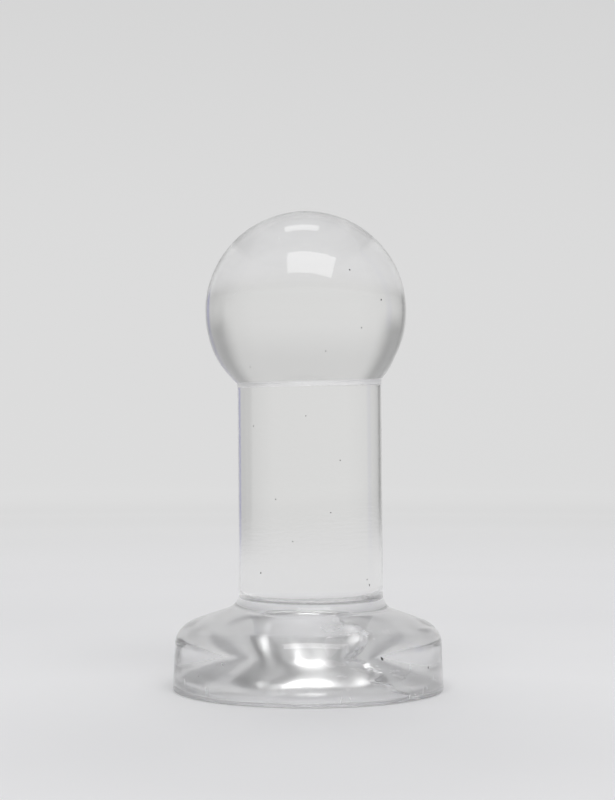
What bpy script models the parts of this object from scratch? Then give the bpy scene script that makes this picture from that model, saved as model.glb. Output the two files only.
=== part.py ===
"""A clear sink plunger: a ball knob on a thick solid stem, over a domed suction cup.

Metres, +Z up. The origin is on the plunger's axis, on the surface that the cup's rim stands on.
Every piece is turned about that axis. The knob, the stem and the cup are three clear mouldings,
held to each other by a spigot in a socket. The cup is one elastic moulding, made here as three
nodes: its crown goes down with the stem, its skirt gives, and its rim stays on the sink.
"""

import math

import bmesh
import bpy
from mathutils import Vector

# Overall sizes
CUP_DIAMETER = 0.100
CUP_HEIGHT = 0.034
STEM_DIAMETER = 0.0532
STEM_LENGTH = 0.0776
KNOB_DIAMETER = 0.0743

# Knob
COLLAR_HEIGHT = 0.0018
COLLAR_STEP = 0.0002

# Spigots and sockets that hold the three mouldings together
SPIGOT_DIAMETER = 0.030
KNOB_SPIGOT_LENGTH = 0.020
BOSS_LENGTH = 0.014
SPIGOT_CHAMFER = 0.0012
SOCKET_CLEARANCE = 0.0003
EDGE_ROUND = 0.0003

# Outside of the cup
SEAM_STEP = 0.0004
FILLET_RADIUS = 0.006
FILLET_START = math.radians(20)
SHOULDER_SLOPE = math.radians(19.6)
SHOULDER_RADIUS = 0.0088
WALL_DRAFT = math.radians(2.5)
RIM_EDGE = 0.0006

# Recess under the cup
MOUTH_DIAMETER = 0.078
THROAT_DIAMETER = 0.024
RECESS_DEPTH = 0.0235
DOME_HEIGHT = 0.0060
FLARE_POWER = 2.4
SWELL_POWER = 2.0
MOUTH_ROUND = 0.0006

# Where the cup moulding is divided, and the gap that separates neighbouring nodes
RIM_HEIGHT = 0.006
SKIRT_HEIGHT = 0.011
NODE_GAP = 0.0003

# Fineness of the turned surfaces
TURN_STEPS = 64
KNOB_SEGMENTS = 24
ARC_SEGMENTS = 8
FLARE_SEGMENTS = 8

CUP_RADIUS = CUP_DIAMETER / 2
STEM_RADIUS = STEM_DIAMETER / 2
KNOB_RADIUS = KNOB_DIAMETER / 2
SPIGOT_RADIUS = SPIGOT_DIAMETER / 2
SOCKET_RADIUS = SPIGOT_RADIUS + SOCKET_CLEARANCE
MOUTH_RADIUS = MOUTH_DIAMETER / 2
THROAT_RADIUS = THROAT_DIAMETER / 2

NECK_LEVEL = CUP_HEIGHT + STEM_LENGTH
COLLAR_RADIUS = STEM_RADIUS + COLLAR_STEP
KNOB_CENTRE = NECK_LEVEL + COLLAR_HEIGHT + math.sqrt(KNOB_RADIUS**2 - COLLAR_RADIUS**2)
SKIRT_TOP = RIM_HEIGHT + SKIRT_HEIGHT
DOME_BASE = RECESS_DEPTH - DOME_HEIGHT


def arc(centre, radius, start, end, segments=ARC_SEGMENTS):
    """Points (r, z) on an arc from one angle to another, both ends included."""
    turns = [start + (end - start) * step / segments for step in range(segments + 1)]
    return [(centre[0] + radius * math.cos(a), centre[1] + radius * math.sin(a)) for a in turns]


def rounded(before, corner, after, radius, segments=ARC_SEGMENTS):
    """Points (r, z) that round the corner of two straight lines to a radius."""
    corner = Vector(corner)
    to_before = (Vector(before) - corner).normalized()
    to_after = (Vector(after) - corner).normalized()
    half_angle = to_before.angle(to_after) / 2
    centre = corner + (to_before + to_after).normalized() * radius / math.sin(half_angle)
    start = corner + to_before * radius / math.tan(half_angle) - centre
    end = corner + to_after * radius / math.tan(half_angle) - centre
    first = math.atan2(start.y, start.x)
    sweep = math.remainder(math.atan2(end.y, end.x) - first, math.tau)
    return arc(centre, radius, first, first + sweep, segments)


def recess_radius(level):
    """Radius of the recess at a height: a bell from the throat to the mouth, under a dome."""
    if level <= DOME_BASE:
        flare = (1 - (level / DOME_BASE) ** SWELL_POWER) ** FLARE_POWER
        return THROAT_RADIUS + (MOUTH_RADIUS - THROAT_RADIUS) * flare
    rise = min((level - DOME_BASE) / DOME_HEIGHT, 1)
    return THROAT_RADIUS * math.sqrt(1 - rise**2)


def recess_wall(low, high, segments=FLARE_SEGMENTS):
    """Points (r, z) up the wall of the recess between two heights, both included."""
    levels = [low + (high - low) * step / segments for step in range(segments + 1)]
    return [(recess_radius(level), level) for level in levels]


def recess_roof(low):
    """Points (r, z) from a height on the recess wall up over the dome, ending on the axis."""
    wall = recess_wall(low, DOME_BASE)[:-1] if low < DOME_BASE else []
    start = math.asin(max(low - DOME_BASE, 0) / DOME_HEIGHT)
    turns = [start + (math.pi / 2 - start) * step / ARC_SEGMENTS for step in range(ARC_SEGMENTS)]
    dome = [(THROAT_RADIUS * math.cos(a), DOME_BASE + DOME_HEIGHT * math.sin(a)) for a in turns]
    return wall + dome + [(0, RECESS_DEPTH)]


def wall_radius(level):
    """Radius of the cup's tapered outer wall at a height."""
    return CUP_RADIUS - level * math.tan(WALL_DRAFT)


def spigot(top, foot):
    """Outline of a chamfered round spigot, from its top on the axis down to its foot."""
    return [
        (0, top),
        (SPIGOT_RADIUS - SPIGOT_CHAMFER, top),
        (SPIGOT_RADIUS, top - SPIGOT_CHAMFER),
        (SPIGOT_RADIUS, foot),
    ]


def socket(mouth, roof):
    """Outline of a blind socket with a chamfered roof, from its mouth up to the axis."""
    return [
        (SOCKET_RADIUS, mouth),
        (SOCKET_RADIUS, roof - SPIGOT_CHAMFER),
        (SOCKET_RADIUS - SPIGOT_CHAMFER, roof),
        (0, roof),
    ]


def knob_outline():
    """Ball and collar down the outside, then the face at the neck and the socket."""
    foot = NECK_LEVEL + NODE_GAP
    tangent = math.asin((NECK_LEVEL + COLLAR_HEIGHT - KNOB_CENTRE) / KNOB_RADIUS)
    ball = arc((0, KNOB_CENTRE), KNOB_RADIUS, math.pi / 2, tangent, KNOB_SEGMENTS)
    face = rounded((COLLAR_RADIUS, KNOB_CENTRE), (COLLAR_RADIUS, foot), (0, foot), EDGE_ROUND, 3)
    roof = NECK_LEVEL + KNOB_SPIGOT_LENGTH + SOCKET_CLEARANCE
    return [(0, KNOB_CENTRE + KNOB_RADIUS)] + ball[1:] + face + socket(foot, roof)


def stem_outline():
    """Spigot, the face at the neck, the plain round side, then the foot face and its socket."""
    foot = CUP_HEIGHT + NODE_GAP
    neck = rounded((0, NECK_LEVEL), (STEM_RADIUS, NECK_LEVEL), (STEM_RADIUS, foot), EDGE_ROUND, 3)
    heel = rounded((STEM_RADIUS, NECK_LEVEL), (STEM_RADIUS, foot), (0, foot), EDGE_ROUND, 3)
    roof = CUP_HEIGHT + BOSS_LENGTH + SOCKET_CLEARANCE
    return spigot(NECK_LEVEL + KNOB_SPIGOT_LENGTH, NECK_LEVEL) + neck + heel + socket(foot, roof)


def crown_outline():
    """Boss, the face under the stem, fillet, shoulder and wall, then the roof of the recess."""
    lip = STEM_RADIUS + SEAM_STEP
    centre = (
        lip + FILLET_RADIUS * math.cos(FILLET_START),
        CUP_HEIGHT + FILLET_RADIUS * math.sin(FILLET_START),
    )
    fillet = arc(centre, FILLET_RADIUS, math.pi + FILLET_START, 1.5 * math.pi - SHOULDER_SLOPE)
    foot = SKIRT_TOP + NODE_GAP
    start = Vector(fillet[-1])
    fall = math.tan(SHOULDER_SLOPE)
    taper = math.tan(WALL_DRAFT)
    reach = (CUP_RADIUS - start.x - taper * start.y) / (1 - taper * fall)
    corner = start + Vector((reach, -reach * fall))
    room = (corner.y - foot) / math.tan((math.pi / 2 - SHOULDER_SLOPE - WALL_DRAFT) / 2)
    shoulder = rounded(start, corner, (wall_radius(foot), foot), min(SHOULDER_RADIUS, 0.9 * room))
    boss = spigot(CUP_HEIGHT + BOSS_LENGTH, CUP_HEIGHT)
    return boss + fillet + shoulder + [(wall_radius(foot), foot)] + recess_roof(foot)


def skirt_outline():
    """Closed outline of the flexible wall between the crown and the rim."""
    low = RIM_HEIGHT + NODE_GAP
    outside = [(wall_radius(SKIRT_TOP), SKIRT_TOP), (wall_radius(low), low)]
    return outside + recess_wall(low, SKIRT_TOP)


def rim_outline():
    """Closed outline of the ring that seals on the sink, with its rounded outer edge and mouth."""
    outer = rounded((wall_radius(RIM_HEIGHT), RIM_HEIGHT), (CUP_RADIUS, 0), (0, 0), RIM_EDGE, 3)
    wall = recess_wall(0, RIM_HEIGHT)
    mouth = rounded((CUP_RADIUS, 0), wall[0], wall[1], MOUTH_ROUND, 3)
    above = [point for point in wall if point[1] > mouth[-1][1]]
    return [(wall_radius(RIM_HEIGHT), RIM_HEIGHT)] + outer + mouth + above


def clear_material(name, colour, roughness):
    """A clear moulded plastic: light passes through it and bends."""
    material = bpy.data.materials.new(name)
    material.use_nodes = True
    shader = material.node_tree.nodes["Principled BSDF"]
    shader.inputs["Base Color"].default_value = (*colour, 1)
    shader.inputs["Roughness"].default_value = roughness
    shader.inputs["Metallic"].default_value = 0
    shader.inputs["IOR"].default_value = 1.5
    shader.inputs["Transmission Weight"].default_value = 1
    return material


def group(name, level):
    """An empty on the plunger's axis, at a height, that the pieces of one body hang on."""
    empty = bpy.data.objects.new(name, None)
    empty.empty_display_size = CUP_RADIUS
    empty.location.z = level
    bpy.context.scene.collection.objects.link(empty)
    return empty


def turned(name, outline, parent, material, ring=False):
    """An object turned from its outline: down the outer side, then back along the inner one.

    The outline starts and ends on the axis, unless the piece is a ring, whose outline is closed.
    """
    drawing = bmesh.new()
    points = [drawing.verts.new((r, 0, z - parent.location.z)) for r, z in outline]
    pairs = zip(points, points[1:] + points[:1]) if ring else zip(points, points[1:])
    for first, second in pairs:
        drawing.edges.new((first, second))
    bmesh.ops.remove_doubles(drawing, verts=drawing.verts, dist=1e-6)
    mesh = bpy.data.meshes.new(name)
    drawing.to_mesh(mesh)
    drawing.free()
    mesh.materials.append(material)
    piece = bpy.data.objects.new(name, mesh)
    bpy.context.scene.collection.objects.link(piece)
    piece.parent = parent
    screw = piece.modifiers.new("turn", "SCREW")
    screw.axis = "Z"
    screw.angle = math.tau
    screw.steps = TURN_STEPS
    screw.render_steps = TURN_STEPS
    screw.use_merge_vertices = True
    screw.merge_threshold = 1e-6
    screw.use_smooth_shade = True
    bpy.context.view_layer.update()
    solid = bpy.data.meshes.new_from_object(piece.evaluated_get(bpy.context.evaluated_depsgraph_get()))
    solid.name = name
    piece.modifiers.clear()
    piece.data = solid
    bpy.data.meshes.remove(mesh)
    solid.shade_smooth()
    solid.set_sharp_from_angle(angle=math.radians(30))
    return piece


def main():
    for leftover in list(bpy.data.objects):
        bpy.data.objects.remove(leftover)

    hard = clear_material("clear_plastic", (0.955, 0.955, 0.945), 0.06)
    soft = clear_material("clear_rubber", (0.945, 0.943, 0.940), 0.08)

    rim_body = group("rim_body", 0)
    handle_body = group("handle_body", SKIRT_TOP)

    turned("cup_rim", rim_outline(), rim_body, soft, ring=True)
    turned("cup_skirt", skirt_outline(), rim_body, soft, ring=True)
    turned("cup_crown", crown_outline(), handle_body, soft)
    turned("stem", stem_outline(), handle_body, hard)
    turned("grip_ball", knob_outline(), handle_body, hard)


main()
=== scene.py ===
"""Looks of a clear sink plunger: a ball knob, a thick stem and a cup, moulded in clear soft plastic.

The three mouldings are solid and bonded to each other, so light crosses from one to the next without
bending. Each is a closed surface of its own, turned from an outline and then made slightly uneven, the
way a soft moulding is. Metres, +Z up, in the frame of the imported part.
"""

import logging
import math
from dataclasses import dataclass
from enum import Enum, IntEnum

import bmesh
import bpy
import numpy as np
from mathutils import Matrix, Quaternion, Vector


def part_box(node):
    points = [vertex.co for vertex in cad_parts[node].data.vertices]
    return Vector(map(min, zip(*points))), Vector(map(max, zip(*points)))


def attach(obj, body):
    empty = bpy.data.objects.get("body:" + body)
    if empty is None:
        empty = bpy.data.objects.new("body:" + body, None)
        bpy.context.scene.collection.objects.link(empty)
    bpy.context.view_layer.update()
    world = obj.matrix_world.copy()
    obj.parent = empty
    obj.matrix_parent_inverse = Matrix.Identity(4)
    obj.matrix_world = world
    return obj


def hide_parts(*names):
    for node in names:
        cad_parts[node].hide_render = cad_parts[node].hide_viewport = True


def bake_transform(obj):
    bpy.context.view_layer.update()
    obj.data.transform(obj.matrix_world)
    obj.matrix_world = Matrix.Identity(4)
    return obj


Array = np.ndarray
Colour = tuple[float, float, float]

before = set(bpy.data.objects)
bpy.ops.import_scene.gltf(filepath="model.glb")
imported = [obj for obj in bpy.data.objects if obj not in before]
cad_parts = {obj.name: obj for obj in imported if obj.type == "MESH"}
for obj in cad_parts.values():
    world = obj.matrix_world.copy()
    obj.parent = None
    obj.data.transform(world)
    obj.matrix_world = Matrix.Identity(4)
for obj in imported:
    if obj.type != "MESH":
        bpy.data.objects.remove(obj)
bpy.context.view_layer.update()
CREASE_ANGLE = math.radians(35)
LOG = logging.getLogger("plunger")


class Body(Enum):
    """The two moving bodies of the frame."""

    RIM = "rim"
    HANDLE = "handle"


class Slot(Enum):
    """The record's material slots."""

    HANDLE = "clear_handle"
    CUP = "clear_cup"


class Skin(IntEnum):
    """The surfaces of a moulding, in the order of its material slots."""

    POLISHED = 0
    BONDED = 1
    MATT = 2


# Outlines and surfaces


def smoothstep(values: Array, low: float, high: float) -> Array:
    """Ramp from 0 to 1 between two values, 3t^2 - 2t^3, level at both ends.

    Args:
        values: Where to read the ramp.
        low: Where it leaves 0.
        high: Where it reaches 1.

    Returns:
        The ramp's height at each value.
    """
    share = np.clip((np.asarray(values) - low) / (high - low), 0.0, 1.0)
    return share * share * (3.0 - 2.0 * share)


def arc(centre: tuple[float, float], radius: float, start: float, end: float, count: int) -> Array:
    """Points on an arc: centre + radius times (cosine, sine) of evenly spaced angles.

    Args:
        centre: The arc's centre, as (r, z).
        radius: Its radius.
        start: Angle of its first point, in radians.
        end: Angle of its last point.
        count: How many points it has.

    Returns:
        An array of (r, z) rows.
    """
    angle = np.linspace(start, end, count)
    return np.column_stack((centre[0] + radius * np.cos(angle), centre[1] + radius * np.sin(angle)))


def rounded(before: Array, corner: Array, after: Array, radius: float, count: int) -> Array:
    """Arc that rounds a corner, tangent to both of the straight lines that meet there.

    Args:
        before: A point on the line into the corner, as (r, z).
        corner: The corner itself.
        after: A point on the line out of it.
        radius: The arc's radius.
        count: How many points it has.

    Returns:
        An array of (r, z) rows.
    """
    before, corner, after = (np.asarray(point, float) for point in (before, corner, after))
    inward = (before - corner) / np.linalg.norm(before - corner)
    outward = (after - corner) / np.linalg.norm(after - corner)
    half = math.acos(float(inward @ outward)) / 2
    middle = (inward + outward) / np.linalg.norm(inward + outward)
    centre = corner + middle * radius / math.sin(half)
    first = corner + inward * radius / math.tan(half) - centre
    last = corner + outward * radius / math.tan(half) - centre
    start = math.atan2(first[1], first[0])
    sweep = math.remainder(math.atan2(last[1], last[0]) - start, math.tau)
    return arc((centre[0], centre[1]), radius, start, start + sweep, count)


def refined(outline: Array, longest: float) -> Array:
    """Outline with each span cut into equal steps no longer than a length.

    Args:
        outline: Rows of (r, z).
        longest: The longest step.

    Returns:
        The same line with more points, every given one kept.
    """
    spans = np.diff(outline, axis=0)
    steps = np.maximum(np.ceil(np.linalg.norm(spans, axis=1) / longest), 1).astype(int)
    share = (np.arange(steps.sum()) - np.repeat(np.cumsum(steps) - steps, steps)) / np.repeat(steps, steps)
    points = np.repeat(outline[:-1], steps, axis=0) + np.repeat(spans, steps, axis=0) * share[:, None]
    return np.vstack((points, outline[-1:]))


def turned(outline: Array, columns: int) -> Array:
    """Carries an outline round the Z axis: x = r cos(a), y = r sin(a), z = z.

    Args:
        outline: Rows of (r, z), from the axis down the outer side and back to the axis.
        columns: How many equal turns make the full circle.

    Returns:
        Points as (rows, columns, 3).
    """
    angle = np.linspace(0.0, math.tau, columns, endpoint=False)
    radius, height = outline[:, :1], outline[:, 1:]
    flat = np.stack((radius * np.cos(angle), radius * np.sin(angle)), axis=-1)
    level = np.broadcast_to(height[..., None], (*flat.shape[:2], 1))
    return np.concatenate((flat, level), axis=-1)


def bands(rows: int, columns: int, first: int = 0) -> Array:
    """Faces of a grid that closes on itself round its columns, outwards where its rows run down.

    Args:
        rows: How many rows of points there are.
        columns: How many points a row has.
        first: Index of the first point.

    Returns:
        The four corners of each face, as (count, 4).
    """
    here = np.arange(columns)
    after = (here + 1) % columns
    start = first + columns * np.arange(rows - 1)[:, None]
    below = start + columns
    return np.stack((start + here, below + here, below + after, start + after), axis=-1).reshape(-1, 4)


def new_piece(name: str, mesh: bpy.types.Mesh) -> bpy.types.Object:
    """Puts a mesh in the scene as a piece at the origin.

    Args:
        name: The piece's name.
        mesh: Its mesh.

    Returns:
        The piece.
    """
    piece = bpy.data.objects.new(name, mesh)
    bpy.context.scene.collection.objects.link(piece)
    return piece


def closed_body(name: str, rows: Array, marks: Array, materials: list[bpy.types.Material]) -> bpy.types.Object:
    """Joins a turned grid into one closed mesh whose first and last rows are poles on the axis.

    Args:
        name: Name of the object and its mesh.
        rows: Points as (rows, columns, 3).
        marks: Material slot of each band of faces between two rows.
        materials: The materials, in slot order.

    Returns:
        The object, at the origin, unturned and unscaled.
    """
    inner, columns = rows.shape[0] - 2, rows.shape[1]
    points = np.vstack((rows[0, :1], rows[1:-1].reshape(-1, 3), rows[-1, :1]))
    here = np.arange(columns)
    after = (here + 1) % columns
    top = np.column_stack((np.zeros_like(here), 1 + here, 1 + after))
    foot = 1 + columns * (inner - 1)
    bottom = np.column_stack((foot + after, foot + here, np.full_like(here, len(points) - 1)))
    mesh = bpy.data.meshes.new(name)
    faces = top.tolist() + bands(inner, columns, 1).tolist() + bottom.tolist()
    mesh.from_pydata(points.tolist(), [], faces)
    for material in materials:
        mesh.materials.append(material)
    mesh.polygons.foreach_set("material_index", np.repeat(marks, columns).astype(np.int32))
    mesh.shade_smooth()
    mesh.set_sharp_from_angle(angle=CREASE_ANGLE)
    mesh.update()
    return new_piece(name, mesh)


# Shader graphs


@dataclass
class Graph:
    """A node tree, and one method that adds any node to it."""

    tree: bpy.types.NodeTree

    def node(self, kind: str, settings: dict | None = None, sockets: dict | None = None) -> bpy.types.Node:
        """Adds a node.

        Args:
            kind: The node's type, such as ShaderNodeMath.
            settings: Its own settings, set first. A list under "stops" fills a colour ramp.
            sockets: Values or links for its inputs, by name or number.

        Returns:
            The node.
        """
        made = self.tree.nodes.new(kind)
        for key, value in (settings or {}).items():
            if key == "stops":
                self._fill(made.color_ramp, value)
            else:
                setattr(made, key, value)
        for key, value in (sockets or {}).items():
            self.feed(made.inputs[key], value)
        return made

    def feed(self, socket: bpy.types.NodeSocket, value: object) -> None:
        """Sets an input to a plain value, or links it to an output.

        Args:
            socket: The input.
            value: A number, a vector or a colour, or the output to link.
        """
        if isinstance(value, Signal):
            value = value.socket
        if isinstance(value, bpy.types.NodeSocket):
            self.tree.links.new(value, socket)
        else:
            socket.default_value = value

    def signal(self, kind: str, settings: dict | None = None, sockets: dict | None = None) -> "Signal":
        """Adds a node and returns its first output, ready for arithmetic."""
        return Signal(self, self.node(kind, settings, sockets).outputs[0])

    def noise(self, place: object, scale: float, **sockets: float) -> "Signal":
        """Grey cloud-like noise.

        Args:
            place: The coordinates that it is read at.
            scale: How many clouds there are to a metre.
            sockets: The noise's other inputs, such as Detail.

        Returns:
            The noise, from 0 to 1.
        """
        return self.signal("ShaderNodeTexNoise", {}, {"Vector": place, "Scale": scale, **sockets})

    def ease(self, value: "Signal", low: float, high: float) -> "Signal":
        """Smooth ramp from 0 to 1 between two values.

        Args:
            value: What is ramped.
            low: Where the ramp leaves 0. It may be the higher of the two.
            high: Where it reaches 1.

        Returns:
            The ramp's output.
        """
        return self.signal(
            "ShaderNodeMapRange",
            {"interpolation_type": "SMOOTHSTEP"},
            {"Value": value, "From Min": low, "From Max": high},
        )

    def mix(self, factor: "Signal", first: object, second: object) -> bpy.types.NodeSocket:
        """Blends two colours.

        Args:
            factor: How much of the second there is, from 0 to 1.
            first: A plain colour or an output.
            second: A plain colour or an output.

        Returns:
            The blended colour's output.
        """
        made = self.node("ShaderNodeMix", {"data_type": "RGBA"})
        sockets = [socket for socket in made.inputs if socket.enabled]
        for socket, value in zip(sockets, (factor, first, second)):
            self.feed(socket, (*value, 1.0) if isinstance(value, tuple) else value)
        return next(socket for socket in made.outputs if socket.enabled)

    @staticmethod
    def _fill(ramp: bpy.types.ColorRamp, stops: list) -> None:
        """Gives a ramp its stops.

        Args:
            ramp: The ramp.
            stops: Pairs of a place and a grey level or a colour, in order of place.
        """
        while len(ramp.elements) < len(stops):
            ramp.elements.new(1.0)
        for element, (place, level) in zip(ramp.elements, stops):
            element.position = place
            element.color = (*level, 1.0) if isinstance(level, tuple) else (level, level, level, 1.0)


@dataclass
class Signal:
    """An output that takes part in arithmetic: each operator adds its Math node."""

    graph: Graph
    socket: bpy.types.NodeSocket

    def _with(self, operation: str, first: object, second: object) -> "Signal":
        """Adds a Math node on two values."""
        return self.graph.signal("ShaderNodeMath", {"operation": operation}, {0: first, 1: second})

    def __add__(self, other: object) -> "Signal":
        """This plus another."""
        return self._with("ADD", self, other)

    __radd__ = __add__

    def __sub__(self, other: object) -> "Signal":
        """This minus another."""
        return self._with("SUBTRACT", self, other)

    def __rsub__(self, other: object) -> "Signal":
        """Another minus this."""
        return self._with("SUBTRACT", other, self)

    def __mul__(self, other: object) -> "Signal":
        """This times another."""
        return self._with("MULTIPLY", self, other)

    __rmul__ = __mul__

    def __truediv__(self, other: object) -> "Signal":
        """This divided by another."""
        return self._with("DIVIDE", self, other)

    def root(self) -> "Signal":
        """Square root of this."""
        return self._with("POWER", self, 0.5)

    def ramp(self, stops: list) -> "Signal":
        """This put through a ramp with the given stops."""
        return self.graph.signal("ShaderNodeValToRGB", {"stops": stops}, {0: self})


def new_material(name: str) -> tuple[bpy.types.Material, Graph, bpy.types.Node]:
    """Makes a material with one Principled shader.

    Args:
        name: The material's name.

    Returns:
        The material, its graph and the shader.
    """
    material = bpy.data.materials.new(name)
    material.use_nodes = True
    graph = Graph(material.node_tree)
    return material, graph, material.node_tree.nodes["Principled BSDF"]


# Finishes


@dataclass(frozen=True)
class ClearMoulding:
    """Solid, clear, glossy soft plastic, with handling smears and a skin that isn't quite even."""

    name: str
    tint: Colour
    roughness: float = 0.035
    smear: float = 0.05
    smear_scale: float = 38.0
    ripple_depth: float = 0.00006
    ripple_scale: float = 60.0
    pore_depth: float = 0.00001
    pore_scale: float = 900.0
    index: float = 1.5
    clearness: float = 1.0

    def material(self) -> bpy.types.Material:
        """Makes the material.

        Returns:
            The material, its smears in the roughness and its ripple and pores in the bump.
        """
        material, graph, shader = new_material(self.name)
        place = graph.node("ShaderNodeTexCoord").outputs["Object"]
        clouds = graph.noise(place, self.smear_scale, Detail=5.0, Roughness=0.62)
        smears = clouds.ramp([(0.48, 0.0), (0.70, 1.0)])
        ripple = graph.noise(place, self.ripple_scale, Detail=1.0)
        pores = graph.noise(place, self.pore_scale, Detail=2.0)
        height = ripple * self.ripple_depth + pores * self.pore_depth
        bump = graph.node("ShaderNodeBump", {}, {"Strength": 1.0, "Distance": 1.0, "Height": height})
        graph.feed(shader.inputs["Base Color"], (*self.tint, 1.0))
        graph.feed(shader.inputs["Roughness"], smears * self.smear + self.roughness)
        graph.feed(shader.inputs["IOR"], self.index)
        graph.feed(shader.inputs["Transmission Weight"], self.clearness)
        graph.feed(shader.inputs["Normal"], bump.outputs["Normal"])
        return material


@dataclass(frozen=True)
class BondedFace:
    """A face where two clear mouldings are bonded: the plastic goes on, so nothing shows."""

    name: str = "bonded_face"

    def material(self) -> bpy.types.Material:
        """Makes the material.

        Returns:
            The material, wholly see-through.
        """
        material, graph, shader = new_material(self.name)
        graph.feed(shader.inputs["Base Color"], (1.0, 1.0, 1.0, 1.0))
        graph.feed(shader.inputs["Alpha"], 0.0)
        return material


@dataclass(frozen=True)
class Grit:
    """Opaque matter caught in the plastic: dark dirt, or the bright skin of a tiny bubble."""

    name: str
    dark: Colour
    light: Colour
    roughness: float
    scale: float = 2500.0

    def material(self) -> bpy.types.Material:
        """Makes the material.

        Returns:
            The material, grained between its dark and its light colour.
        """
        material, graph, shader = new_material(self.name)
        place = graph.node("ShaderNodeTexCoord").outputs["Object"]
        grain = graph.noise(place, self.scale, Detail=2.0)
        graph.feed(shader.inputs["Base Color"], graph.mix(grain, self.dark, self.light))
        graph.feed(shader.inputs["Roughness"], self.roughness)
        return material


# Shape of the plunger


@dataclass(frozen=True)
class Levels:
    """Heights and radii that the mouldings share, read from the frame's solids."""

    cup_radius: float
    stem_radius: float
    knob_radius: float
    knob_top: float
    neck: float
    seam: float
    squash_low: float
    squash_high: float

    @classmethod
    def of_frame(cls) -> "Levels":
        """Reads the levels from the boxes of the CAD nodes.

        Returns:
            The levels, with each bond halfway between the two solids that meet there.
        """
        low = {name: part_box(name)[0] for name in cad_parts}
        high = {name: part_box(name)[1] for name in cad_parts}
        half_gap = (low["cup_skirt"][2] - high["cup_rim"][2]) / 2
        return cls(
            cup_radius=high["cup_rim"][0],
            stem_radius=high["stem"][0],
            knob_radius=high["grip_ball"][0],
            knob_top=high["grip_ball"][2],
            neck=low["grip_ball"][2] - half_gap,
            seam=low["stem"][2] - half_gap,
            squash_low=high["cup_rim"][2],
            squash_high=low["cup_crown"][2],
        )

    @property
    def knob_centre(self) -> float:
        """Height of the ball's centre."""
        return self.knob_top - self.knob_radius


def squash_blend(piece: bpy.types.Object) -> None:
    """Bakes a piece's placement into its mesh.

    Args:
        piece: The piece.
    """
    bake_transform(piece)


@dataclass(frozen=True)
class Unevenness:
    """How a hand-poured soft moulding strays from its true turned shape.

    The shift at a point is a sum of plane waves, each one its own direction times the cosine of its
    phase along its own bearing. It depends on the place alone, so bonded faces stay together.
    """

    levels: Levels
    seed: int = 11
    waves: int = 28
    shortest: float = 0.016
    longest: float = 0.060
    cup: float = 0.00030
    stem: float = 0.00003
    knob: float = 0.00005
    ball_offset: float = -0.0013
    stem_lean: float = -0.0006
    stem_offset: float = 0.0010
    neck_tilt: float = -0.029
    neck_reach: float = 0.014

    def shift(self, points: Array) -> Array:
        """Gives the shift of each point.

        Args:
            points: Places before the shift, with x, y, z on the last axis.

        Returns:
            The shifts, in the same shape.
        """
        rng = np.random.default_rng(self.seed)
        bearing = rng.normal(size=(self.waves, 3))
        bearing /= np.linalg.norm(bearing, axis=1, keepdims=True)
        length = np.exp(rng.uniform(math.log(self.shortest), math.log(self.longest), self.waves))
        direction = rng.normal(size=(self.waves, 3)) * (length / self.longest)[:, None]
        phase = rng.uniform(0.0, math.tau, self.waves)
        wave = np.cos(points @ (bearing * (math.tau / length)[:, None]).T + phase)
        waves = wave @ direction / math.sqrt(self.waves)
        height = points[..., 2]
        seam, neck = self.levels.seam, self.levels.neck
        size = self.cup + (self.stem - self.cup) * smoothstep(height, seam - 0.008, seam + 0.006)
        size = size + (self.knob - self.stem) * smoothstep(height, neck, neck + 0.01)
        shift = waves * size[..., None]
        shift[..., 2] *= smoothstep(height, 0.0, 0.006)
        return shift + self.lean(points)

    def lean(self, points: Array) -> Array:
        """Gives the shift that comes from how the three mouldings sit on each other.

        The stem is set aside and leans, as a straight line of the height. The ball is set aside, and the
        neck is tilted about the Y axis, fading as exp(-((z - neck) / neck_reach)^2).

        Args:
            points: Places before the shift, with x, y, z on the last axis.

        Returns:
            The shifts, in the same shape.
        """
        height = points[..., 2]
        seam, neck = self.levels.seam, self.levels.neck
        along = np.clip((height - seam) / (neck - seam), 0.0, 1.0)
        sideways = self.stem_offset * smoothstep(height, seam - 0.012, seam) + self.stem_lean * along
        ball = self.ball_offset * smoothstep(height, neck, neck + 0.012)
        tilt = self.neck_tilt * points[..., 0] * np.exp(-(((height - neck) / self.neck_reach) ** 2))
        return np.stack((sideways + ball, np.zeros_like(height), -tilt), axis=-1)


@dataclass
class Moulding:
    """One of the three clear mouldings."""

    levels: Levels
    unevenness: Unevenness
    skins: list[bpy.types.Material]
    columns: int = 240
    step: float = 0.0007

    def build(self, name: str, runs: list[tuple[Skin, Array]]) -> bpy.types.Object:
        """Turns an outline, makes it uneven and closes it.

        Args:
            name: The piece's name.
            runs: The outline from the axis down the outer side and back to the axis, cut where its
                skin changes: each run's skin and its rows of (r, z), which start where the last ended.

        Returns:
            The piece.
        """
        lines = [refined(rows, self.step) for _, rows in runs]
        line = np.vstack([lines[0], *(rows[1:] for rows in lines[1:])])
        marks = np.repeat([skin.value for skin, _ in runs], [len(rows) - 1 for rows in lines])
        grid = turned(line, self.columns)
        grid = grid + self.unevenness.shift(grid) + self.mark(grid)
        return closed_body(name, grid, marks, self.skins)

    def mark(self, points: Array) -> Array:
        """Gives the shift that only this moulding has, which is none."""
        return np.zeros_like(points)


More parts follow.
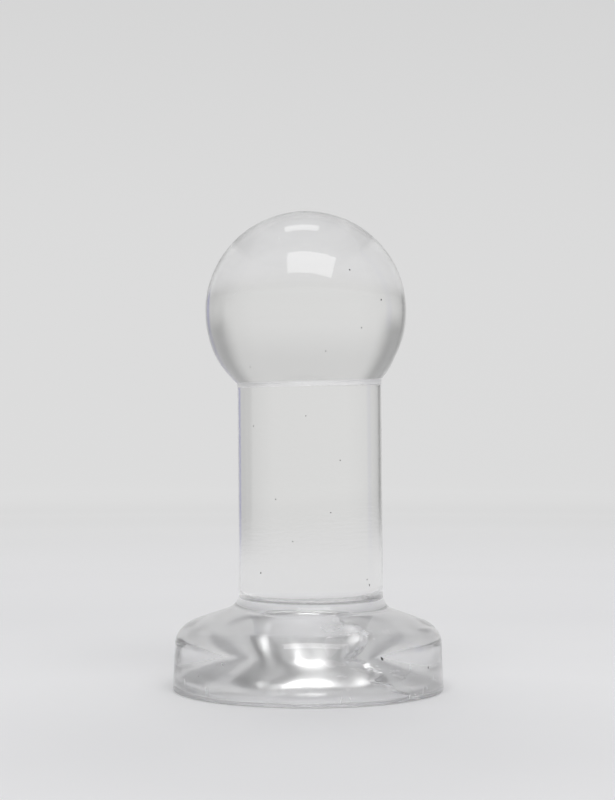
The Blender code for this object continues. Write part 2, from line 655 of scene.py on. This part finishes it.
@dataclass
class Knob(Moulding):
    """The ball, with the short collar that it meets the stem with."""

    throat_round: float = 0.0013
    ball_points: int = 220

    def runs(self) -> list[tuple[Skin, Array]]:
        """Ball from its top down to the collar, the milky seam round the collar, then the bonded face.

        Returns:
            Each run's skin and its rows of (r, z).
        """
        centre, radius = self.levels.knob_centre, self.levels.knob_radius
        collar = self.levels.stem_radius
        neck = self.levels.neck
        reach = collar + self.throat_round
        turn = math.acos(reach / (radius + self.throat_round))
        throat = (reach, centre - (radius + self.throat_round) * math.sin(turn))
        ball = arc((0.0, centre), radius, math.pi / 2, -turn, self.ball_points)
        fillet = arc(throat, self.throat_round, math.pi - turn, math.pi, 8)
        ball[0, 0] = 0.0
        seam = np.vstack((fillet, [(collar, neck)]))
        return [(Skin.POLISHED, ball), (Skin.MATT, seam), (Skin.BONDED, np.array([seam[-1], (0.0, neck)]))]

    def dress(self) -> bpy.types.Object:
        """Builds the ball and ties it to the frame.

        Returns:
            The piece.
        """
        piece = self.build("clear_ball", self.runs())
        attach(piece, Body.HANDLE.value)
        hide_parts("grip_ball")
        return piece


@dataclass
class Stem(Moulding):
    """The thick round stem."""

    def runs(self) -> list[tuple[Skin, Array]]:
        """Bonded face at the neck, the side, then the bonded face at the foot.

        Returns:
            Each run's skin and its rows of (r, z).
        """
        radius, neck, seam = self.levels.stem_radius, self.levels.neck, self.levels.seam
        side = np.array([(radius, neck), (radius, seam)])
        return [
            (Skin.BONDED, np.array([(0.0, neck), side[0]])),
            (Skin.POLISHED, side),
            (Skin.BONDED, np.array([side[-1], (0.0, seam)])),
        ]

    def dress(self) -> bpy.types.Object:
        """Builds the stem and ties it to the frame.

        Returns:
            The piece.
        """
        piece = self.build("clear_stem", self.runs())
        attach(piece, Body.HANDLE.value)
        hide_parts("stem")
        return piece


@dataclass
class Cup(Moulding):
    """The cup: fillet, sloping shoulder and tapered wall outside, flare and dome inside."""

    fillet: float = 0.0068
    fillet_start: float = math.radians(10)
    slope: float = math.radians(19.6)
    shoulder: float = 0.0088
    draft: float = math.radians(2.5)
    rim_edge: float = 0.0003
    mouth: float = 0.039
    mouth_round: float = 0.0006
    throat: float = 0.012
    depth: float = 0.0235
    dome: float = 0.0060
    flare: float = 2.4
    swell: float = 2.0
    crease_turn: float = math.radians(-44)
    crease_depth: float = 0.0026
    crease_width: float = 0.0007
    columns: int = 360

    def outside(self) -> Array:
        """Outer side, from the seam under the stem down to the rim.

        Returns:
            Rows of (r, z).
        """
        seam = self.levels.seam
        start = self.levels.stem_radius
        centre = (
            start + self.fillet * math.cos(self.fillet_start),
            seam + self.fillet * math.sin(self.fillet_start),
        )
        fillet = arc(centre, self.fillet, math.pi + self.fillet_start, 1.5 * math.pi - self.slope, 24)
        fall, taper = math.tan(self.slope), math.tan(self.draft)
        base = self.levels.cup_radius
        reach = (base - fillet[-1, 0] - taper * fillet[-1, 1]) / (1 - taper * fall)
        corner = fillet[-1] + (reach, -reach * fall)
        shoulder = rounded(fillet[-1], corner, (base, 0.0), self.shoulder, 28)
        edge = rounded(corner, (base, 0.0), (0.0, 0.0), self.rim_edge, 6)
        return np.vstack((fillet, shoulder, edge))

    def recess_radius(self, height: Array) -> Array:
        """Radius of the recess at each height, down to the throat's."""
        rise = np.clip(height / (self.depth - self.dome), 0.0, 1.0) ** self.swell
        return self.throat + (self.mouth - self.throat) * (1 - rise) ** self.flare

    def inside(self) -> Array:
        """Recess: radius = throat + (mouth - throat)(1 - (z / base)^swell)^flare, under a dome.

        Returns:
            Rows of (r, z), from the mouth up to the axis.
        """
        base = self.depth - self.dome
        height = np.linspace(0.0, base, 60)
        radius = self.recess_radius(height)
        turn = np.linspace(0.0, math.pi / 2, 40)[1:]
        dome = np.column_stack((self.throat * np.cos(turn), base + self.dome * np.sin(turn)))
        dome[-1, 0] = 0.0
        wall = np.column_stack((radius, height))
        mouth = rounded((self.levels.cup_radius, 0.0), wall[0], wall[2], self.mouth_round, 6)
        return np.vstack((mouth, wall[wall[:, 1] > mouth[-1, 1]], dome))

    def mark(self, points: Array) -> Array:
        """Gives a crease that the mould left in the recess's wall.

        It pushes the wall outwards by crease_depth times exp(-(gap / crease_width)^2), where gap is the
        way round to a line that wanders as it climbs the wall.

        Args:
            points: Places before the shift, with x, y, z on the last axis.

        Returns:
            The shifts, in the same shape.
        """
        radius = np.linalg.norm(points[..., :2], axis=-1)
        height = points[..., 2]
        wander = 0.10 * np.sin(height * 700.0 + 0.6) + 0.05 * np.sin(height * 1700.0)
        turn = np.arctan2(points[..., 1], points[..., 0])
        gap = radius * (turn - self.crease_turn - wander)
        wall = self.recess_radius(height)
        inner = smoothstep(-radius, -wall - 0.004, -wall - 0.001) * smoothstep(height, 0.0, 0.003)
        push = self.crease_depth * np.exp(-((gap / self.crease_width) ** 2)) * inner
        push = push * smoothstep(-height, -0.019, -0.014)
        return np.stack((np.cos(turn) * push, np.sin(turn) * push, np.zeros_like(push)), axis=-1)

    def dress(self) -> bpy.types.Object:
        """Builds the cup and bakes its placement into its mesh.

        Returns:
            The piece.
        """
        outside, inside = self.outside(), self.inside()
        face = np.array([(0.0, self.levels.seam), outside[0]])
        recess = np.vstack((outside[-1], inside))
        piece = self.build("clear_cup", [(Skin.BONDED, face), (Skin.POLISHED, outside), (Skin.MATT, recess)])
        squash_blend(piece)
        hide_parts("cup_crown", "cup_skirt", "cup_rim")
        return piece


# Dirt, bubbles and nicks


@dataclass(frozen=True)
class Fleck:
    """One chip: its turn from the front in degrees, its height, and its length, width and lean."""

    turn: float
    height: float
    length: float
    width: float
    lean: float = 0.0


@dataclass
class Flecks:
    """Small irregular chips held just under the skin of one moulding, joined into one piece.

    Each chip is a lump whose radius is 1 + roughness times a sum of three cosines of the angles round
    it, stretched to the chip's length and width, leaned, and set at its place on the moulding.
    """

    levels: Levels
    unevenness: Unevenness
    material: bpy.types.Material
    roughness: float = 0.16
    sides: int = 14
    rings: int = 9
    depth: float = 0.00012
    shoulder_fall: float = 0.0135

    def surface_radius(self, height: Array) -> Array:
        """Radius of the plunger's outer side at each height.

        Args:
            height: Heights above the floor.

        Returns:
            The radii: the ball's above the neck, the stem's above the seam, and below it a slope out to
            the cup's wall, which is reached shoulder_fall lower.
        """
        levels = self.levels
        knob = np.sqrt(np.clip(levels.knob_radius**2 - (height - levels.knob_centre) ** 2, 0.0, None))
        wall = levels.cup_radius - math.tan(Cup.draft) * height
        out = np.clip((levels.seam - height) / self.shoulder_fall, 0.0, 1.0)
        slope = levels.stem_radius + (wall - levels.stem_radius) * out
        return np.where(height > levels.neck, knob, np.where(height > levels.seam, levels.stem_radius, slope))

    def lumps(self, count: int) -> Array:
        """Makes unit lumps, each one different.

        Args:
            count: How many.

        Returns:
            Points as (count, rings, sides, 3).
        """
        rng = np.random.default_rng(self.unevenness.seed + count)
        climb = np.linspace(0.0, math.pi, self.rings)[:, None]
        turn = np.linspace(0.0, math.tau, self.sides, endpoint=False)
        phase = rng.uniform(0.0, math.tau, (3, count, 1, 1))
        bumps = np.cos(2 * turn + phase[0]) + np.cos(3 * turn + 2 * climb + phase[1])
        radius = 1.0 + self.roughness * (bumps + np.cos(3 * climb + phase[2])) * np.sin(climb) ** 2
        across, up = np.sin(climb) * np.cos(turn), np.cos(climb) + 0 * turn
        inward = np.sin(climb) * np.sin(turn)
        return radius[..., None] * np.stack((across, inward, up), axis=-1)

    def points(self, flecks: list[Fleck]) -> Array:
        """Places the lumps on the moulding.

        Args:
            flecks: The chips.

        Returns:
            Points as (count, rings, sides, 3).
        """
        values = np.array([(f.turn, f.height, f.length, f.width, f.lean) for f in flecks])
        turn, height, length, width, lean = (values[:, i, None, None] for i in range(5))
        lump = self.lumps(len(flecks)) * np.stack((width, width * 0.4, length), axis=-1) / 2
        lean = np.radians(lean)
        across = lump[..., 0] * np.cos(lean) - lump[..., 2] * np.sin(lean)
        up = lump[..., 0] * np.sin(lean) + lump[..., 2] * np.cos(lean)
        reach = self.surface_radius(height + up) - self.depth - width * 0.2 + lump[..., 1]
        angle = np.radians(turn - 90.0) + across / np.maximum(reach, 0.003)
        placed = np.stack((reach * np.cos(angle), reach * np.sin(angle), height + up), axis=-1)
        return placed + self.unevenness.shift(placed)

    def build(self, name: str, flecks: list[Fleck]) -> bpy.types.Object:
        """Joins the chips into one mesh of closed lumps.

        Args:
            name: The piece's name.
            flecks: The chips.

        Returns:
            The piece.
        """
        grid = self.points(flecks)
        count, rings, sides = grid.shape[:3]
        grid[:, 0] = grid[:, 0].mean(axis=1, keepdims=True)
        grid[:, -1] = grid[:, -1].mean(axis=1, keepdims=True)
        quads = bands(rings, sides) + rings * sides * np.arange(count)[:, None, None]
        mesh = bpy.data.meshes.new(name)
        mesh.from_pydata(grid.reshape(-1, 3).tolist(), [], quads.reshape(-1, 4).tolist())
        work = bmesh.new()
        work.from_mesh(mesh)
        bmesh.ops.remove_doubles(work, verts=work.verts, dist=1e-9)
        bmesh.ops.recalc_face_normals(work, faces=work.faces)
        work.to_mesh(mesh)
        work.free()
        mesh.shade_smooth()
        mesh.materials.append(self.material)
        return new_piece(name, mesh)

    def dress_handle(self, name: str, flecks: list[Fleck]) -> bpy.types.Object:
        """Builds chips that ride with the stem and the ball.

        Args:
            name: The piece's name.
            flecks: The chips.

        Returns:
            The piece.
        """
        piece = self.build(name, flecks)
        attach(piece, Body.HANDLE.value)
        return piece

    def dress_cup(self, name: str, flecks: list[Fleck]) -> bpy.types.Object:
        """Builds chips for the cup and bakes their placement into the mesh.

        Args:
            name: The piece's name.
            flecks: The chips.

        Returns:
            The piece.
        """
        piece = self.build(name, flecks)
        squash_blend(piece)
        return piece


# Studio


@dataclass(frozen=True)
class Softbox:
    """A rectangular light that faces the ball.

    Azimuth is its turn round from the camera's side, positive to the camera's right, and elevation is
    its angle above the level of the ball. Roll turns it in its own plane.
    """

    name: str
    azimuth: float
    elevation: float
    width: float
    height: float
    power: float
    away: float = 1.3
    roll: float = math.radians(-10)

    def hang(self, aim: Vector) -> None:
        """Hangs the light.

        Args:
            aim: The place that it faces.
        """
        turn, rise = self.azimuth, self.elevation
        offset = Vector((math.sin(turn) * math.cos(rise), -math.cos(turn) * math.cos(rise), math.sin(rise)))
        light = bpy.data.lights.new(self.name, "AREA")
        light.shape = "RECTANGLE"
        light.size, light.size_y = self.width, self.height
        light.energy = self.power
        lamp = bpy.data.objects.new(self.name, light)
        lamp.location = aim + offset * self.away
        facing = (-offset).to_track_quat("-Z", "Y") @ Quaternion((0.0, 0.0, 1.0), self.roll)
        lamp.rotation_euler = facing.to_euler()
        bpy.context.scene.collection.objects.link(lamp)


@dataclass
class Studio:
    """A pale round cyclorama, two softboxes overhead and the camera.

    Each pair in glow is an azimuth in degrees, 0 behind the plunger and positive to the camera's right,
    and the grey level or colour that the wall glows with there. Each pair in spread is a distance from
    glow_centre, which is that far in front of the plunger, in steps of spread_reach metres, and how
    much of its glow the paper has reached there.
    """

    levels: Levels
    floor_radius: float = 1.5
    bend: float = 0.6
    wall_top: float = 2.4
    floor_level: float = -0.0002
    distance: float = 0.782
    eye: float = 0.1113
    sideways: float = -0.0003
    view_height: float = math.radians(21.43)
    horizon_rise: float = math.radians(0.352)
    film: float = 36.0
    paper: Colour = (0.80, 0.80, 0.81)
    wall: Colour = (0.10, 0.10, 0.10)
    near: Colour = (0.55, 0.55, 0.55)
    violet: Colour = (0.06, 0.06, 0.27)
    glow: tuple[tuple[float, float | Colour], ...] = (
        (-180, 0.55),
        (-100, 0.55),
        (-77, 0.50),
        (-74, 0.05),
        (-66, 0.03),
        (-62, 0.32),
        (-57, 0.43),
        (-53, 0.48),
        (-46, 0.52),
        (-40, 0.55),
        (-20, 0.58),
        (20, 0.57),
        (41, 0.51),
        (48, 0.46),
        (54, 0.41),
        (64, 0.38),
        (68, violet),
        (75, violet),
        (78, 0.50),
        (100, 0.55),
        (180, 0.55),
    )
    spread: tuple[tuple[float, float], ...] = (
        (0.025, 0.06),
        (0.072, 0.14),
        (0.10, 0.20),
        (0.20, 0.20),
        (0.27, 0.25),
        (0.317, 0.30),
        (0.37, 0.41),
        (0.437, 0.56),
        (0.515, 0.75),
        (0.61, 0.91),
        (0.735, 0.95),
        (0.95, 0.97),
    )
    glow_centre: float = 0.15
    spread_reach: float = 2.0
    wall_share: tuple[float, float] = (0.26, 0.66)
    near_reach: tuple[float, float] = (0.9, 0.4)
    sides_darker: float = 0.46
    top_darker: float = 0.12
    under: float = 0.4
    under_reach: tuple[float, float] = (0.048, 0.030)
    glow_strength: float = 1.16
    sky: float = 0.52
    softboxes: tuple[Softbox, ...] = (
        Softbox("front_softbox", math.radians(8), math.radians(55), 1.10, 0.64, 7.0),
        Softbox("back_softbox", math.radians(8), math.radians(109), 0.50, 0.25, 0.8),
    )

    def cyclorama(self) -> bpy.types.Object:
        """Floor that bends up into a wall all round, as one turned surface.

        Returns:
            The piece.
        """
        bend = arc((self.floor_radius, self.bend), self.bend, -math.pi / 2, 0.0, 24)
        top = (self.floor_radius + self.bend, self.wall_top)
        outline = np.vstack(([(0.0, 0.0)], bend, [top])) + (0.0, self.floor_level)
        grid = turned(refined(outline, 0.05), 96)
        mesh = bpy.data.meshes.new("cyclorama")
        mesh.from_pydata(grid.reshape(-1, 3).tolist(), [], bands(*grid.shape[:2]).tolist())
        mesh.shade_smooth()
        mesh.materials.append(self.paper_material())
        piece = new_piece("cyclorama", mesh)
        return piece

    def paper_material(self) -> bpy.types.Material:
        """Pale matt paper, whose wall glows behind the plunger and all round, but for a dark strip.

        The wall gets darker with height, most at both sides. The paper under the cup glows a little,
        which stands for the light that a clear foot lets through.

        Returns:
            The material.
        """
        material, graph, shader = new_material("studio_paper")
        place = graph.node("ShaderNodeTexCoord").outputs["Object"]
        axes = graph.node("ShaderNodeSeparateXYZ", {}, {0: place}).outputs
        across, away, up = (Signal(graph, output) for output in axes)
        reach = (across * across + away * away).root()
        side = across / reach
        azimuth = graph.signal("ShaderNodeMath", {"operation": "ARCTAN2"}, {0: across, 1: away})
        round_wall = (azimuth / math.tau + 0.5).ramp([(turn / 360 + 0.5, level) for turn, level in self.glow])
        glow = graph.mix(graph.ease(reach, *self.near_reach), round_wall, self.near)
        behind = graph.ease(away / reach, -0.1, 0.1)
        aside = graph.ease(side * side, 0.25, 0.56) * behind * (self.sides_darker - 0.05 * side)
        shade = self.top_darker * graph.ease(up, 0.2, 1.0) + aside * graph.ease(up, 0.1, 0.6)
        from_centre = ((away + self.glow_centre) * (away + self.glow_centre) + across * across).root()
        spread = from_centre / self.spread_reach
        lit_foot = self.under * graph.ease(reach, *self.under_reach)
        strength = spread.ramp(list(self.spread)) * (1 - shade) + lit_foot
        fade = graph.ease(spread + 0.08 * graph.ease(away, -0.2, -0.8), *self.wall_share)
        mottle = graph.noise(place, 9.0, Detail=3.0)
        sheet = graph.mix(mottle, self.paper, tuple(level * 0.97 for level in self.paper))
        graph.feed(shader.inputs["Base Color"], graph.mix(fade, sheet, self.wall))
        graph.feed(shader.inputs["Roughness"], 0.9)
        graph.feed(shader.inputs["Specular IOR Level"], 0.1)
        graph.feed(shader.inputs["Emission Color"], graph.mix(strength, (0.0, 0.0, 0.0), glow))
        graph.feed(shader.inputs["Emission Strength"], self.glow_strength)
        return material

    def ceiling(self) -> None:
        """Even pale light from above, as the world."""
        world = bpy.data.worlds.new("ceiling")
        bpy.context.scene.world = world
        world.use_nodes = True
        background = world.node_tree.nodes["Background"]
        background.inputs["Color"].default_value = (1.0, 1.0, 1.01, 1.0)
        background.inputs["Strength"].default_value = self.sky

    def camera(self) -> None:
        """Long lens at the height of the neck, nearly level."""
        lens = bpy.data.cameras.new("camera")
        lens.sensor_width = self.film
        lens.lens = self.film / 2 / math.tan(self.view_height / 2)
        holder = bpy.data.objects.new("camera", lens)
        holder.location = (self.sideways, -self.distance, self.eye)
        holder.rotation_euler = (math.pi / 2 - self.horizon_rise, 0.0, 0.0)
        bpy.context.scene.collection.objects.link(holder)
        bpy.context.scene.camera = holder

    def set_up(self) -> None:
        """Builds the whole studio."""
        self.camera()
        self.cyclorama()
        self.ceiling()
        for softbox in self.softboxes:
            softbox.hang(Vector((0.0, 0.0, self.levels.knob_centre)))
        bpy.context.scene.view_settings.view_transform = "Standard"


BALL_DIRT = [
    Fleck(27, 0.1529, 0.0007, 0.0005, 20),
    Fleck(47, 0.1425, 0.0007, 0.0005, -30),
    Fleck(33, 0.1323, 0.0005, 0.0004),
    Fleck(-6, 0.1757, 0.0005, 0.0008, 10),
    Fleck(-41, 0.1190, 0.0004, 0.0003),
    Fleck(12, 0.1240, 0.0004, 0.0004, 45),
    Fleck(118, 0.1450, 0.0006, 0.0005),
    Fleck(-140, 0.1290, 0.0005, 0.0004, 60),
]
STEM_DIRT = [
    Fleck(-50, 0.0974, 0.0007, 0.0003, 10),
    Fleck(-3, 0.1010, 0.0004, 0.0003, -35),
    Fleck(-28, 0.0710, 0.0004, 0.0004),
    Fleck(16, 0.0663, 0.0004, 0.0004, 15),
    Fleck(-43, 0.0442, 0.0007, 0.0005),
    Fleck(53, 0.0395, 0.0010, 0.0004, 12),
    Fleck(50, 0.0416, 0.0006, 0.0004, -20),
    Fleck(24, 0.0850, 0.0004, 0.0004),
    Fleck(-14, 0.0560, 0.0004, 0.0003, 50),
    Fleck(132, 0.0790, 0.0006, 0.0005),
    Fleck(-155, 0.0520, 0.0007, 0.0004, 30),
]
CUP_DIRT = [
    Fleck(32, 0.0161, 0.0016, 0.0008, 30),
    Fleck(60, 0.0109, 0.0009, 0.0008),
    Fleck(-52, 0.0085, 0.0004, 0.0004),
    Fleck(125, 0.0140, 0.0008, 0.0006, 20),
    Fleck(-118, 0.0090, 0.0006, 0.0005),
]
BALL_SCRATCHES = [
    Fleck(-43, 0.1445, 0.0032, 0.00016, -62),
    Fleck(-41, 0.1462, 0.0026, 0.00014, -58),
    Fleck(-20, 0.1640, 0.0020, 0.00014, 40),
    Fleck(38, 0.1560, 0.0022, 0.00014, 25),
    Fleck(-9, 0.1763, 0.0010, 0.00018, 85),
]
CUP_NICKS = [
    Fleck(47, 0.0124, 0.0034, 0.00035, 4),
    Fleck(-63, 0.0051, 0.0026, 0.00045, 22),
    Fleck(-46, 0.0038, 0.0036, 0.00050, 14),
    Fleck(13, 0.0024, 0.0022, 0.00040, -16),
    Fleck(17, 0.0030, 0.0012, 0.00035, 30),
    Fleck(55, 0.0030, 0.0028, 0.00035, -8),
    Fleck(58, 0.0038, 0.0016, 0.00030, 10),
    Fleck(46, 0.0018, 0.0018, 0.00035, -20),
    Fleck(-38, 0.0139, 0.0010, 0.00060, 40),
    Fleck(64, 0.0065, 0.0018, 0.00035, 0),
    Fleck(-74, 0.0066, 0.0010, 0.00040, 0),
    Fleck(120, 0.0050, 0.0026, 0.00040, 12),
    Fleck(-130, 0.0036, 0.0022, 0.00040, -15),
    Fleck(165, 0.0100, 0.0030, 0.00035, 5),
]


def main() -> None:
    """Builds the studio and the plunger, and reports each piece."""
    logging.basicConfig(level=logging.INFO, format="%(name)s: %(message)s")
    levels = Levels.of_frame()
    Studio(levels).set_up()
    unevenness = Unevenness(levels)
    bonded = BondedFace().material()
    handle = [
        ClearMoulding("clear_handle", (0.965, 0.965, 0.955), ripple_depth=0.00002).material(),
        bonded,
        ClearMoulding("milky_seam", (1.0, 1.0, 1.0), roughness=0.30, clearness=0.35).material(),
    ]
    cup = [
        ClearMoulding(
            "clear_cup", (0.985, 0.985, 0.99), roughness=0.05, ripple_depth=0.00012, ripple_scale=45.0
        ).material(),
        bonded,
        ClearMoulding(
            "clear_recess", (0.99, 0.99, 1.0), roughness=0.19, smear=0.14, clearness=0.58
        ).material(),
    ]
    pieces = [
        Knob(levels, unevenness, handle).dress(),
        Stem(levels, unevenness, handle).dress(),
        Cup(levels, unevenness, cup).dress(),
    ]
    dark = Grit("dark_dirt", (0.03, 0.03, 0.035), (0.16, 0.15, 0.14), 0.6).material()
    pale = Grit("pale_nick", (0.86, 0.86, 0.88), (0.97, 0.97, 0.98), 0.35).material()
    dirt = Flecks(levels, unevenness, dark)
    nicks = Flecks(levels, unevenness, pale, depth=-0.00004)
    pieces += [
        dirt.dress_handle("ball_dirt", BALL_DIRT),
        dirt.dress_handle("stem_dirt", STEM_DIRT),
        dirt.dress_cup("cup_dirt", CUP_DIRT),
        nicks.dress_handle("ball_scratches", BALL_SCRATCHES),
        nicks.dress_cup("cup_nicks", CUP_NICKS),
    ]
    for piece in pieces:
        LOG.info("%s: %d faces", piece.name, len(piece.data.polygons))


if __name__ == "__main__":
    main()
